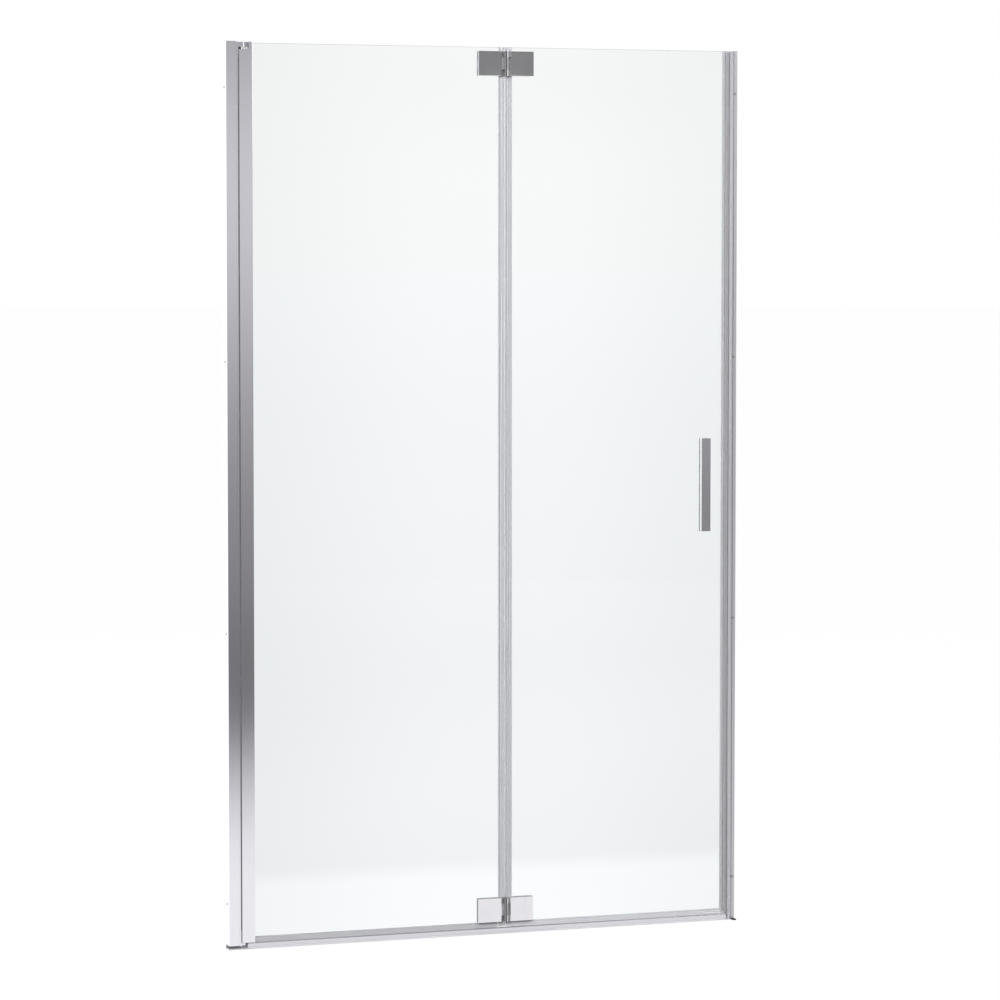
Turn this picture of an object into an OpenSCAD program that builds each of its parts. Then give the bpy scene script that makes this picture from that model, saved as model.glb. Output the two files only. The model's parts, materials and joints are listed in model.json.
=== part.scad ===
// Folding shower door: two glass panels, pivoted at the hinge wall and folding at the middle.
// Millimetres, +Z up, +X towards the strike wall, +Y into the shower.
// The origin is at the middle of the opening, on the glass centre plane, on the tray.

/* [Opening] */
// Width between the two walls
door_w = 1216.5; // [1100:0.5:1400]
// Top of the hinge wall channel above the tray
door_h = 2008; // [1800:1:2200]
// Hinge wall to the fold axis
fold_from_wall = 655.5; // [580:0.5:700]

/* [Glass] */
// Thickness of both glass panels
glass_t = 8; // [6:0.5:10]
// Channel top down to the glass tops
glass_drop = 2.7; // [1:0.1:10]
// Small flat ground along every glass edge
glass_arris = 0.8; // [0.3:0.1:1.5]
// First glass edge short of the fold axis
glass_a_back = 6.8; // [6:0.1:9]
// Second glass edge beyond the fold axis
glass_b_ahead = 4.1; // [3.8:0.1:8]

/* [Wall channels] */
// Depth of both wall channels
channel_d = 34; // [30:0.5:44]
// Wall thickness of the channels
channel_t = 1.6; // [1.2:0.1:2.5]
// Front face of the hinge wall channel
channel_face = 22.5; // [20:0.5:30]
// Front face of the strike wall channel
strike_channel_face = 7.3; // [6.5:0.1:9]
// Hinge wall channel above the tray
channel_lift = 8.6; // [7:0.1:12]
// Strike wall channel above the tray
strike_lift = 2.9; // [2:0.1:8]
// Hinge wall channel top down to the strike wall channel top
strike_top_drop = 2.9; // [0:0.1:6]
// Number of wall screw holes in each channel
wall_holes = 4; // [3:1:6]
// First and last wall hole to the tray and to the hinge wall channel top
wall_hole_inset = 101; // [60:0.25:150]
// Radius of a wall screw hole
wall_hole_r = 2.75; // [2:0.05:3.5]

/* [Hinge post] */
// Wall to the outer face of the post
post_reach = 26.5; // [26:0.1:40]
// Wall to the hidden edge of the post
post_start = 8; // [6:0.1:10]
// Wall thickness of the post
post_t = 1.8; // [1.5:0.1:2.5]
// Sliding gap between the post and the channel
post_fit = 0.3; // [0.2:0.05:0.6]
// Channel top down to the post top
post_drop = 1.6; // [1.5:0.1:6]
// Front lip of the post, behind the channel face
lip_set = 0.5; // [0.2:0.1:1.2]
// Gap between the lip and the edge of the channel
lip_gap = 0.5; // [0.3:0.1:1]
// Shank radius of the screws that clamp the post
clamp_screw_r = 2; // [1.5:0.1:2.5]

/* [Pivot stile] */
// Width of the stile that carries the first glass
stile_w = 30; // [28:0.5:40]
// Depth of the stile
stile_d = 28; // [26:0.5:30]
// Wall thickness of the stile
stile_t = 2; // [1.5:0.1:2.5]
// Gap between the post and the stile
stile_gap = 4; // [3.7:0.1:7]
// Gap between the stile and the sill below it
stile_clear = 0.6; // [0.4:0.1:2]
// Channel top down to the stile top
stile_drop = 0.7; // [0.2:0.1:1]
// Stile edge to the pivot axis
pivot_in = 16.5; // [15.5:0.1:17.5]
// Height of the notch for the top arm
notch_h = 16.5; // [15:0.5:30]
// Notch beyond the pivot axis
notch_ahead = 5.8; // [5.7:0.1:6]
// Glass held inside the stile
glass_bite = 6.6; // [5.5:0.1:6.7]
// Gasket between the glass and the stile
glazing_t = 1.2; // [0.8:0.1:1.6]

/* [Pivots] */
// Radius of the pivot pins
pivot_pin_r = 3; // [2.5:0.1:3.4]
// Radial clearance of pins in their holes
pin_fit = 0.05; // [0.02:0.01:0.08]
// Radius of the boss that holds a pivot pin
boss_r = 5.4; // [4.5:0.1:5.4]
// Width of the arms
arm_w = 8; // [6:0.1:9]
// Channel top down to the top arm
top_arm_drop = 1.2; // [1:0.1:2.5]
// Thickness of the top arm
top_arm_t = 11; // [6:0.5:12]
// Tray to the underside of the bottom arm
low_arm_z = 6; // [4.5:0.1:6.5]
// Thickness of the bottom arm
low_arm_t = 5.5; // [4.5:0.1:6]
// Thickness of the bracket leg on the post
bracket_t = 2.7; // [2:0.1:3]
// Width of the bracket leg
bracket_w = 27; // [20:0.5:28]
// Height of the whole bracket
bracket_h = 35; // [32:0.5:60]
// Radius of the bush flange
bush_flange_r = 5; // [4.6:0.1:5.1]
// Radius of the bush sleeve
bush_r = 4.4; // [4:0.1:4.5]
// Rubber pad under the top arm, along the arm
arm_pad_l = 9; // [4:0.5:11]
// Length of the bush sleeve
bush_l = 28; // [20:0.5:30]
// Length of the block inside each stile end
block_l = 42; // [40:0.5:60]
// Running gap between parts that turn on each other
run_gap = 0.3; // [0.2:0.05:0.5]

/* [Centre hinges] */
// Side of the square hinge leaves
leaf = 55; // [50:0.5:70]
// Thickness of the outer leaves
leaf_t = 5.7; // [5:0.1:6]
// Thickness of the gaskets under the leaves
leaf_pad = 1; // [0.8:0.1:1.2]
// Thickness of the inner clamp plates
clamp_t = 4.9; // [4:0.1:6]
// Leaf edge to the fold axis
leaf_off = 10.75; // [9:0.25:14]
// Fold axis ahead of the glass face
fold_ahead = 8; // [7.8:0.1:9]
// Radius of the hinge barrel
barrel_r = 4.2; // [3.6:0.1:6]
// Height of the middle knuckle
knuckle_h = 27; // [20:0.5:35]
// Radius of the hinge pins
hinge_pin_r = 2; // [1.5:0.1:2.4]
// Channel top down to the top hinge's centre
top_hinge_drop = 39.5; // [32:0.5:300]
// Tray up to the bottom hinge's centre
low_hinge_z = 53.2; // [53.2:0.1:300]
// Height between the two bolts of a leaf
leaf_bolt_gap = 28; // [20:0.5:34]
// Radius of the clamp bolts
leaf_bolt_r = 2.5; // [2:0.1:3]
// Radius of the bolt holes in the glass
glass_hole_r = 6; // [5.5:0.1:8]

/* [Handle] */
// Width of the handle bar
handle_w = 21.5; // [18:0.5:30]
// Length of the handle bar
handle_l = 214.3; // [190:0.1:300]
// Thickness of the handle bar
handle_t = 10.2; // [9:0.1:11]
// Thickness of the inner handle plate
handle_back_t = 3.5; // [3:0.1:5]
// Thickness of the handle gaskets
handle_pad = 0.8; // [0.6:0.1:1.2]
// Handle centre above the tray
handle_z = 1011.4; // [900:0.1:1100]
// Handle centre to the strike edge of the glass
handle_in = 51.7; // [45:0.1:90]
// Distance between the two handle bolts
handle_bolt_gap = 160; // [100:1:170]
// Radius of the handle bolts
handle_bolt_r = 2; // [1.5:0.1:2.5]
// Radius of the handle holes in the glass
handle_hole_r = 5; // [4.5:0.1:6]

/* [Seals] */
// Thickness of the seal legs on the glass
seal_t = 1.2; // [0.8:0.1:1.6]
// Thickness of the seal across the glass edge
seal_web = 1.6; // [1:0.1:2]
// Glass edge covered by a vertical seal
seal_cover = 11.4; // [9:0.1:14]
// Glass edge covered by a drip seal
drip_cover = 5; // [3.5:0.1:5.2]
// Gap between the fold bulb and the seal that it meets
bulb_gap = 1.2; // [0.8:0.1:1.6]
// Wall thickness of the fold bulb
bulb_t = 0.8; // [0.5:0.1:1.2]
// Vertical seals above the tray
seal_lift = 15; // [14:0.1:18]
// Gap around the leaves where a seal is cut back
seal_clear = 0.4; // [0.3:0.05:0.6]

/* [Strike] */
// Strike wall to the face that the door meets
strike_w = 13.5; // [12.5:0.1:18]
// Gap between the door and the strike
strike_gap = 1; // [0.8:0.1:2]
// Strike wall channel top down to the strike post top
strike_drop = 0.2; // [0:0.1:6]
// Wall thickness of the strike post
strike_t = 2.2; // [2:0.1:3]
// Length of the strike post's front lip
strike_lip = 3; // [2.4:0.1:4]
// Length of the magnet pocket on the door's edge
nose_l = 4.9; // [4.5:0.1:7]
// Width of the magnet pocket
nose_w = 9; // [8:0.1:10]
// Wall thickness of the magnet pocket
nose_t = 0.9; // [0.7:0.1:1.2]
// Depth of the magnet strip in the strike
strike_magnet_t = 1.1; // [0.8:0.1:1.4]
// Height of a locking clip
clip_h = 4.6; // [3:0.1:8]
// Length of a locking clip across the groove
clip_w = 7; // [6:0.1:8]
// Distance that a clip stands proud
clip_proud = 0.4; // [0.2:0.1:1]

/* [Sill] */
// Thickness of the sill's base plate
sill_t = 1.6; // [1.2:0.1:2]
// Height of the sill
sill_h = 13.2; // [13:0.1:16]
// Depth of the sill's raised part at its foot
sill_d = 20; // [16:0.5:24]
// Glass centre plane to the sill's front face
sill_front = 9; // [8:0.1:11]
// Slope of the sill's rear face, in depth
sill_slope = 6; // [2:0.5:8]
// Gap between the sill and the drip seals
drip_gap = 0.4; // [0.3:0.05:1]
// Height of the drip fin under the glass seal
drip_fin = 4.8; // [3.5:0.1:6]
// Length of the rubber end seal of the sill
sill_end = 3.5; // [2.5:0.1:6]
// Front wall of the sill, carried on past its end ahead of the bottom arm
sill_lap = 8.3; // [4:0.1:8.4]
// Radius of the sill's top front edge
sill_round = 2.3; // [1:0.1:3]
// Depth of the foot pad ahead of the strike channel
foot_ahead = 12; // [1:0.5:18]

/* [Hidden] */
$fn = 48;

// Overlap of pieces that are one solid, and the reach of cuts past a face
eps = 0.01;
over = 1;
// Play round sleeves, magnets and clips, and the bevel of polished plates
play = 0.1;
edge_cut = 0.5;

// Screws
screw_head = 1.8;
clamp_screw_reach = 5;
bracket_screw_r = 2;
bracket_screw_ins = [6, 18];
bracket_screw_past = 3;
block_screw_r = 1.6;
block_screw_head = 1.4;
block_screw_l = 13;
block_screw_up = 6;
block_screw_off = 2;
bolt_short = 2;
bolt_room = 0.5;

// Web of a knuckle, short of the leaf's rear face
knuckle_back = 2;

// Pins
pin_chamfer = 0.6;
pin_set = 0.2;
pin_short = 1;

// Caps, gap seal, foot pads and sill
cap_t = 1.4;
cap_play = 0.2;
gap_bulb_r = 1.5;
gap_base_t = 1.2;
gap_base_w = 8;
gap_web = 1.6;
gap_clear = 0.4;
gap_end = 0.5;
pad_front = 8.5;
pad_back = 12;
pad_in = 0.4;
stand_w = 2;
stand_d = 3.5;
stand_drop = 0.2;
sill_end_back = 3;
sill_end_drop = 0.3;
sill_from_boss = 0.4;

// Stile insides and gaskets
partition_t = 1.7;
pocket_wall = 1.6;
pocket_play = 0.2;
block_fit = 0.3;
bead_w = 1.2;
bead_t = 0.8;
bead_up = 8;
bead_down = 2;
gasket_in = 0.5;

// Seals and strike
fin_w = 1;
fin_lean = 2.6;
seal_end = 0.3;
drip_from_bead = 0.3;
nose_floor = 0.4;
magnet_in = 2;
strike_magnet_in = 1;
flange_t = 1.8;
flange_back = 2.4;
clip_from_lip = 0.3;
clip_rear = 0.05;

// Places across the opening, from the hinge wall to the strike wall
wall_l = -door_w / 2;
wall_r = door_w / 2;
post_x = wall_l + post_reach;
clamp_screw_x = wall_l + (post_start + channel_face) / 2;
stile_x = post_x + stile_gap;
stile_end = stile_x + stile_w;
pivot_x = stile_x + pivot_in;
block_screw_x = pivot_x - block_screw_off;
glass_a_x0 = stile_end - glass_bite;
pocket_x = glass_a_x0 - pocket_play;
partition_x = pocket_x - partition_t;
fold_x = wall_l + fold_from_wall;
glass_a_x1 = fold_x - glass_a_back;
glass_b_x0 = fold_x + glass_b_ahead;
strike_x = wall_r - strike_w;
groove_x = strike_x + strike_lip;
clip_x0 = groove_x + clip_from_lip;
nose_x1 = strike_x - strike_gap;
nose_x0 = nose_x1 - nose_l;
glass_b_x1 = nose_x0 - seal_web;
handle_x = glass_b_x1 - handle_in;
sill_x0 = pivot_x + boss_r + sill_from_boss;
strike_rear_x = wall_r - channel_t - flange_back;
base_x1 = strike_rear_x + play;
end_seal_x1 = strike_x - play;
sill_x1 = end_seal_x1 - sill_end;
lap_x0 = sill_x0 - sill_lap;
stand_x1 = lap_x0 - pad_in;

// Places from front to back
glass_y = glass_t / 2;
seal_y = glass_y + seal_t;
fold_y = -glass_y - fold_ahead;
leaf_y = -glass_y - leaf_pad;
leaf_front = leaf_y - leaf_t;
clamp_y0 = glass_y + leaf_pad;
clamp_y1 = clamp_y0 + clamp_t;
handle_y = -glass_y - handle_pad;
handle_front = handle_y - handle_t;
handle_back_y = glass_y + handle_pad;
handle_back_y1 = handle_back_y + handle_back_t;
channel_y = channel_d / 2;
post_y = channel_y - channel_t - post_fit;
lip_y = channel_y - lip_set;
stile_y = stile_d / 2;
pocket_y = glass_y + glazing_t;
magnet_y = nose_w / 2;

// Heights
drip_z0 = sill_h + drip_gap;
glass_z0 = drip_z0 + drip_fin + seal_web;
glass_z1 = door_h - glass_drop;
drip_top = glass_z0 + drip_cover;
stile_z0 = sill_h + stile_clear;
stile_z1 = door_h - stile_drop;
notch_z = stile_z1 - notch_h;
top_arm_z1 = door_h - top_arm_drop;
top_arm_z0 = top_arm_z1 - top_arm_t;
low_arm_z1 = low_arm_z + low_arm_t;
low_leg_z1 = low_arm_z + bracket_h;
top_leg_z0 = top_arm_z1 - bracket_h;
post_z1 = door_h - post_drop;
strike_channel_z1 = door_h - strike_top_drop;
strike_z1 = strike_channel_z1 - strike_drop;
hinge_zs = [low_hinge_z, door_h - top_hinge_drop];
hole_pitch = (door_h - 2 * wall_hole_inset) / (wall_holes - 1);
hole_zs = [for (i = [0 : wall_holes - 1]) wall_hole_inset + i * hole_pitch];
bracket_screw_zs = [for (in = bracket_screw_ins) each [low_leg_z1 - in, top_leg_z0 + in]];
block_screw_zs = [stile_z0 + bush_l + block_screw_up, notch_z - bush_l - block_screw_up];

// Sizes that follow from the others
sleeve_r = glass_hole_r - play;
handle_sleeve_r = handle_hole_r - play;
bulb_d = glass_a_back + glass_b_ahead - 2 * seal_web - bulb_gap;
bulb_x = glass_a_x1 + seal_web + bulb_d / 2;
leaf_mid = leaf_off + leaf / 2;
strike_recess = strike_magnet_t + play;
handle_holes = [for (s = [-1, 1]) [handle_x, handle_z + s * handle_bolt_gap / 2, handle_hole_r]];

// Bolt holes of the leaves on one side of the fold
function leaf_holes(side) = [for (hz = hinge_zs, s = [-1, 1])
    [fold_x + side * leaf_mid, hz + s * leaf_bolt_gap / 2, glass_hole_r]];

// Wall side edge of the leaves and clamp plates on one side of the fold
function leaf_x(side) = fold_x + (side < 0 ? -leaf_off - leaf : leaf_off);

// Box between two opposite corners
module block(lo, hi) {
    translate(lo) cube(hi - lo);
}

// Flat plan shape raised between two heights
module raise(z0, z1) {
    translate([0, 0, z0]) linear_extrude(z1 - z0) children();
}

// Upright section in Y and Z, run along X
module run_x(x0, x1) {
    translate([x0, 0, 0]) rotate([90, 0, 90]) linear_extrude(x1 - x0) children();
}

// Rectangle between two opposite corners
module area(lo, hi) {
    translate(lo) square(hi - lo);
}

// Plate whose front or rear face has bevelled edges
module bevelled_plate(lo, hi, face) {
    near = face < 0 ? hi[1] : lo[1];
    far = face < 0 ? lo[1] : hi[1];
    cut = far - face * edge_cut;
    intersection() {
        raise(lo[2], hi[2])
            polygon([[lo[0], near], [lo[0], cut], [lo[0] + edge_cut, far],
                     [hi[0] - edge_cut, far], [hi[0], cut], [hi[0], near]]);
        run_x(lo[0], hi[0])
            polygon([[near, lo[2]], [cut, lo[2]], [far, lo[2] + edge_cut],
                     [far, hi[2] - edge_cut], [cut, hi[2]], [near, hi[2]]]);
    }
}

// Round bar or hole along X, Y or Z
module rod_x(x0, x1, y, z, r) {
    translate([x0, y, z]) rotate([0, 90, 0]) cylinder(h = x1 - x0, r = r);
}
module rod_y(x, y0, y1, z, r) {
    translate([x, y1, z]) rotate([90, 0, 0]) cylinder(h = y1 - y0, r = r);
}
module rod_z(x, y, z0, z1, r) {
    translate([x, y, z0]) cylinder(h = z1 - z0, r = r);
}

// Countersunk screw that points down from the origin, with a hex socket
module sunk_screw(r, head_h, length) {
    difference() {
        sunk_hole(r, head_h, length, 0);
        translate([0, 0, -0.7 * head_h]) cylinder(h = head_h, r = 0.7 * r, $fn = 6);
    }
}

// Shape of that screw, grown on its radius to make its hole
module sunk_hole(r, head_h, length, grow) {
    translate([0, 0, -head_h]) cylinder(h = head_h, r1 = r + grow, r2 = r + head_h + grow);
    translate([0, 0, -length]) cylinder(h = length, r = r + grow);
}

// Screw or hole that enters a rear face, or the room side face of a bracket
module from_rear(x, y, z) {
    translate([x, y, z]) rotate([-90, 0, 0]) children();
}
module from_room(x, y, z) {
    translate([x, y, z]) rotate([0, 90, 0]) children();
}

// Wall channels
module wall_channel_left() {
    color("silver") difference() {
        raise(channel_lift, door_h) difference() {
            area([wall_l, -channel_y], [wall_l + channel_face, channel_y]);
            area([wall_l + channel_t, channel_t - channel_y],
                 [wall_l + channel_face + over, channel_y - channel_t]);
        }
        for (z = hole_zs) {
            rod_x(wall_l - over, wall_l + channel_t + over, 0, z, wall_hole_r);
            rod_y(clamp_screw_x, post_y, channel_y + over, z, clamp_screw_r + pin_fit);
        }
    }
}

module wall_channel_right() {
    face_x = wall_r - strike_channel_face;
    color("silver") difference() {
        raise(strike_lift, strike_channel_z1) difference() {
            area([face_x, -channel_y], [wall_r, channel_y]);
            area([face_x - over, channel_t - channel_y], [wall_r - channel_t, channel_y - channel_t]);
        }
        for (z = hole_zs) {
            rod_x(wall_r - channel_t - over, wall_r + over, 0, z, wall_hole_r);
            block([face_x - over, -channel_y - over, z - clip_h / 2 - play],
                  [clip_x0 + clip_w + play, -post_y, z + clip_h / 2 + play]);
        }
    }
}

// Post that slides in the hinge wall channel to take up an uneven wall
module hinge_post() {
    color("silver") difference() {
        raise(channel_lift, post_z1) difference() {
            union() {
                area([wall_l + post_start, -post_y], [post_x, post_y]);
                area([wall_l + channel_face + lip_gap, -lip_y], [post_x, lip_y]);
            }
            area([wall_l + post_start + post_t, post_t - post_y], [post_x - post_t, post_y - post_t]);
        }
        for (z = hole_zs)
            rod_y(clamp_screw_x, 0, channel_y, z, clamp_screw_r + pin_fit);
        for (z = bracket_screw_zs)
            rod_x(post_x - post_t - over, post_x + over, 0, z, bracket_screw_r + pin_fit);
    }
}

module post_clamp_screws() {
    head_y = channel_y + screw_head;
    color("dimgray") for (z = hole_zs) difference() {
        union() {
            rod_y(clamp_screw_x, post_y - clamp_screw_reach, channel_y, z, clamp_screw_r);
            rod_y(clamp_screw_x, channel_y, head_y, z, 2 * clamp_screw_r);
        }
        for (turn = [0, 90])
            translate([clamp_screw_x, head_y, z]) rotate([0, turn, 0])
                cube([0.5 * clamp_screw_r, screw_head, 2.2 * clamp_screw_r], center = true);
    }
}

// Plastic caps that close the channel tops
module top_cap_left() {
    color("gray") raise(post_z1, post_z1 + cap_t)
        area([wall_l + channel_t + cap_play, -post_y], [wall_l + channel_face - cap_play, post_y]);
}

module top_cap_right() {
    inner_y = post_y - flange_t - cap_play;
    color("gray") raise(strike_z1 - cap_t, strike_z1)
        area([strike_x + strike_t + cap_play, -inner_y], [wall_r - channel_t - cap_play, inner_y]);
}

// Brackets on the post that carry the pivot pins
module pivot_bracket(leg_z0, leg_z1, arm_z0, arm_z1) {
    leg_x = post_x + bracket_t;
    difference() {
        union() {
            block([post_x, -bracket_w / 2, leg_z0], [leg_x, bracket_w / 2, leg_z1]);
            block([leg_x - eps, -arm_w / 2, arm_z0], [pivot_x, arm_w / 2, arm_z1]);
            rod_z(pivot_x, 0, arm_z0, arm_z1, boss_r);
        }
        rod_z(pivot_x, 0, arm_z0 - over, arm_z1 + over, pivot_pin_r + pin_fit);
        for (z = bracket_screw_zs)
            from_room(leg_x, 0, z) sunk_hole(bracket_screw_r, screw_head, bracket_t + over, pin_fit);
    }
}

module top_pivot_bracket() {
    color("silver") pivot_bracket(top_leg_z0, top_arm_z1, top_arm_z0, top_arm_z1);
}

module bottom_pivot_bracket() {
    color("silver") pivot_bracket(low_arm_z, low_leg_z1, low_arm_z, low_arm_z1);
}

// Rubber pad between the top arm and the stile, fixed to the arm
module top_arm_pad() {
    pad_x = post_x + bracket_t;
    color("black") block([pad_x, -arm_w / 2, notch_z + run_gap], [pad_x + arm_pad_l, arm_w / 2, top_arm_z0]);
}

module bracket_screws() {
    color("dimgray") for (z = bracket_screw_zs)
        from_room(post_x + bracket_t, 0, z)
            sunk_screw(bracket_screw_r, screw_head, bracket_t + post_t + bracket_screw_past);
}

// Round pin with a small chamfer at both ends
module chamfered_pin(x, y, z0, z1, r) {
    rod_z(x, y, z0 + pin_chamfer, z1 - pin_chamfer, r);
    translate([x, y, z0]) cylinder(h = pin_chamfer, r1 = r - pin_chamfer, r2 = r);
    translate([x, y, z1 - pin_chamfer]) cylinder(h = pin_chamfer, r1 = r, r2 = r - pin_chamfer);
}

module top_pivot_pin() {
    color("lightgray")
        chamfered_pin(pivot_x, 0, notch_z - bush_l + pin_short, top_arm_z1 - pin_set, pivot_pin_r);
}

module bottom_pivot_pin() {
    color("lightgray")
        chamfered_pin(pivot_x, 0, low_arm_z + pin_set, stile_z0 + bush_l - pin_short, pivot_pin_r);
}

// Bulb on the post that closes the gap beside the stile
module hinge_gap_seal() {
    bulb_x0 = stile_x - gap_clear - gap_bulb_r;
    color("black") raise(low_leg_z1 + gap_end, top_leg_z0 - gap_end) {
        area([post_x, -gap_base_w / 2], [post_x + gap_base_t, gap_base_w / 2]);
        area([post_x, -gap_web / 2], [bulb_x0, gap_web / 2]);
        translate([bulb_x0, 0]) circle(r = gap_bulb_r);
    }
}

// Rubber pads under the wall channels
module foot_pad_left() {
    color("black") {
        block([wall_l + pad_in, -pad_front, sill_t], [post_x, pad_back, channel_lift]);
        block([post_x - eps, -pad_front, sill_t], [stand_x1, pad_back, low_arm_z]);
        block([stand_x1 - stand_w, -sill_front, sill_t],
              [stand_x1, stand_d - sill_front, sill_h - stand_drop]);
    }
}

module foot_pad_right() {
    front_y = -channel_y - play;
    color("black") {
        block([wall_r - strike_channel_face, -channel_y - foot_ahead, 0], [wall_r, front_y, strike_lift]);
        block([base_x1 + play, front_y - eps, 0], [wall_r, channel_y, strike_lift]);
    }
}

// Outline of the sill's raised bar
module sill_outline() {
    back = sill_d - sill_front;
    polygon([[-sill_front, sill_t - eps], [back, sill_t - eps], [back - sill_slope, sill_h],
             [sill_round - sill_front, sill_h], [-sill_front, sill_h - sill_round]]);
    translate([sill_round - sill_front, sill_h - sill_round]) circle(r = sill_round);
}

// Sill along the tray: a base plate with a hollow raised bar
module sill() {
    t = sill_t;
    back = sill_d - sill_front;
    color("silver") {
        block([wall_l, -channel_y, 0], [base_x1, channel_y, t]);
        run_x(sill_x0, sill_x1) difference() {
            sill_outline();
            polygon([[t - sill_front, 2 * t], [back - 1.6 * t, 2 * t],
                     [back - sill_slope - 0.4 * t, sill_h - t], [t - sill_front, sill_h - t]]);
        }
        run_x(lap_x0, sill_x0 + eps) intersection() {
            sill_outline();
            area([-sill_front - over, 0], [t - sill_front, sill_h + over]);
        }
    }
}

module sill_end_seal() {
    color("black") block([sill_x1, -sill_front, sill_t],
                         [end_seal_x1, sill_d - sill_front - sill_end_back, sill_h - sill_end_drop]);
}

// Strike post with its groove, held in the wall channel by clips
module strike_post() {
    color("silver") raise(sill_t, strike_z1) difference() {
        union() {
            area([strike_x, -channel_y], [groove_x, channel_y]);
            area([strike_x, -post_y], [strike_rear_x, post_y]);
        }
        area([strike_x + strike_t, flange_t - post_y], [wall_r, post_y - flange_t]);
        area([strike_x - over, -magnet_y], [strike_x + strike_recess, magnet_y]);
    }
}

module strike_magnet() {
    color("dimgray") raise(sill_t + strike_magnet_in, strike_z1 - strike_magnet_in)
        area([strike_x + play, play - magnet_y], [strike_x + strike_recess, magnet_y - play]);
}

module strike_clips() {
    color("black") for (z = hole_zs)
        block([clip_x0, -channel_y - clip_proud, z - clip_h / 2],
              [clip_x0 + clip_w, -post_y - clip_rear, z + clip_h / 2]);
}

// Plan of the pivot stile, drawn in by an inset, with its rear nose round the pivot axis
module stile_plan(inset, x1) {
    difference() {
        area([stile_x + inset, inset - stile_y], [x1, stile_y - inset]);
        difference() {
            area([stile_x - over, 0], [pivot_x, stile_y + over]);
            translate([pivot_x, 0]) circle(r = pivot_in - inset);
        }
    }
}

module block_screw_holes() {
    for (z = block_screw_zs)
        from_rear(block_screw_x, stile_y, z)
            sunk_hole(block_screw_r, block_screw_head, block_screw_l + over, pin_fit);
}

module pivot_stile() {
    wall_y = pocket_y + pocket_wall;
    color("silver") difference() {
        raise(stile_z0, stile_z1) difference() {
            stile_plan(0, stile_end);
            stile_plan(stile_t, partition_x);
            area([pocket_x, -pocket_y], [stile_end + over, pocket_y]);
            for (side = [0, 1]) mirror([0, side])
                area([pocket_x, wall_y], [stile_end - stile_t, stile_y - stile_t]);
        }
        block([stile_x - over, -stile_y - over, notch_z],
              [pivot_x + notch_ahead, stile_y + over, stile_z1 + over]);
        block_screw_holes();
    }
}

// Blocks in the stile ends that hold the pivot bushes
module stile_block(z0, z1) {
    difference() {
        raise(z0, z1) stile_plan(stile_t + block_fit, partition_x - block_fit);
        rod_z(pivot_x, 0, z0 - over, z1 + over, bush_r + pin_fit);
        block_screw_holes();
    }
}

module stile_top_block() {
    color("dimgray") stile_block(notch_z - block_l, notch_z);
}

module stile_bottom_block() {
    color("dimgray") stile_block(stile_z0, stile_z0 + block_l);
}

module stile_block_screws() {
    color("dimgray") for (z = block_screw_zs)
        from_rear(block_screw_x, stile_y, z) sunk_screw(block_screw_r, block_screw_head, block_screw_l);
}

// Flanged bushes that turn on the pivot pins
module pivot_bush(flange_z0, flange_z1, sleeve_z0, sleeve_z1) {
    color("whitesmoke") difference() {
        union() {
            rod_z(pivot_x, 0, flange_z0, flange_z1, bush_flange_r);
            rod_z(pivot_x, 0, sleeve_z0, sleeve_z1, bush_r);
        }
        rod_z(pivot_x, 0, min(sleeve_z0, flange_z0) - over, max(sleeve_z1, flange_z1) + over,
            pivot_pin_r + pin_fit);
    }
}

module top_pivot_bush() {
    pivot_bush(notch_z, top_arm_z0 - run_gap, notch_z - bush_l, notch_z + eps);
}

module bottom_pivot_bush() {
    pivot_bush(low_arm_z1 + run_gap, stile_z0, stile_z0 - eps, stile_z0 + bush_l);
}

// Gaskets that wedge the glass in the stile, each with a small bead outside
module glazing_gaskets() {
    color("gray") raise(stile_z0 + bead_up, stile_z1 - bead_down) for (side = [0, 1]) mirror([0, side]) {
        area([pocket_x + pocket_play, glass_y], [stile_end + eps, pocket_y]);
        area([stile_end, glass_y], [stile_end + bead_w, pocket_y + bead_t]);
    }
}

// Glass plate with ground edges and its bolt holes
module glass_plate(x0, x1, holes) {
    c = glass_arris;
    difference() {
        intersection() {
            raise(glass_z0, glass_z1)
                polygon([[x0 + c, -glass_y], [x1 - c, -glass_y], [x1, c - glass_y], [x1, glass_y - c],
                         [x1 - c, glass_y], [x0 + c, glass_y], [x0, glass_y - c], [x0, c - glass_y]]);
            run_x(x0, x1)
                polygon([[-glass_y, glass_z0 + c], [c - glass_y, glass_z0], [glass_y - c, glass_z0],
                         [glass_y, glass_z0 + c], [glass_y, glass_z1 - c], [glass_y - c, glass_z1],
                         [c - glass_y, glass_z1], [-glass_y, glass_z1 - c]]);
        }
        for (h = holes) rod_y(h[0], -glass_y - over, glass_y + over, h[1], h[2]);
    }
}

module glass_a() {
    color([0.8, 0.92, 0.88, 0.35]) glass_plate(glass_a_x0, glass_a_x1, leaf_holes(-1));
}

module glass_b() {
    color([0.8, 0.92, 0.88, 0.35]) glass_plate(glass_b_x0, glass_b_x1, concat(leaf_holes(1), handle_holes));
}

// Seal under the glass: a skirt outside, a short leg inside and a sloped fin
module drip_seal(x0, x1) {
    web_z = glass_z0 - seal_web;
    color("gainsboro") run_x(x0, x1) {
        area([-seal_y, drip_z0], [-glass_y, drip_top]);
        area([glass_y, web_z], [seal_y, drip_top]);
        area([-seal_y, web_z], [seal_y, glass_z0]);
        polygon([[fin_lean, drip_z0], [fin_lean + fin_w, drip_z0],
                 [fin_w, web_z + seal_web / 2], [0, web_z + seal_web / 2]]);
    }
}

module drip_seal_a() {
    drip_seal(stile_end + bead_w + drip_from_bead, glass_a_x1 - seal_cover - seal_end);
}

module drip_seal_b() {
    drip_seal(glass_b_x0 + seal_cover + seal_end, glass_b_x1 - seal_cover - seal_end);
}

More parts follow.
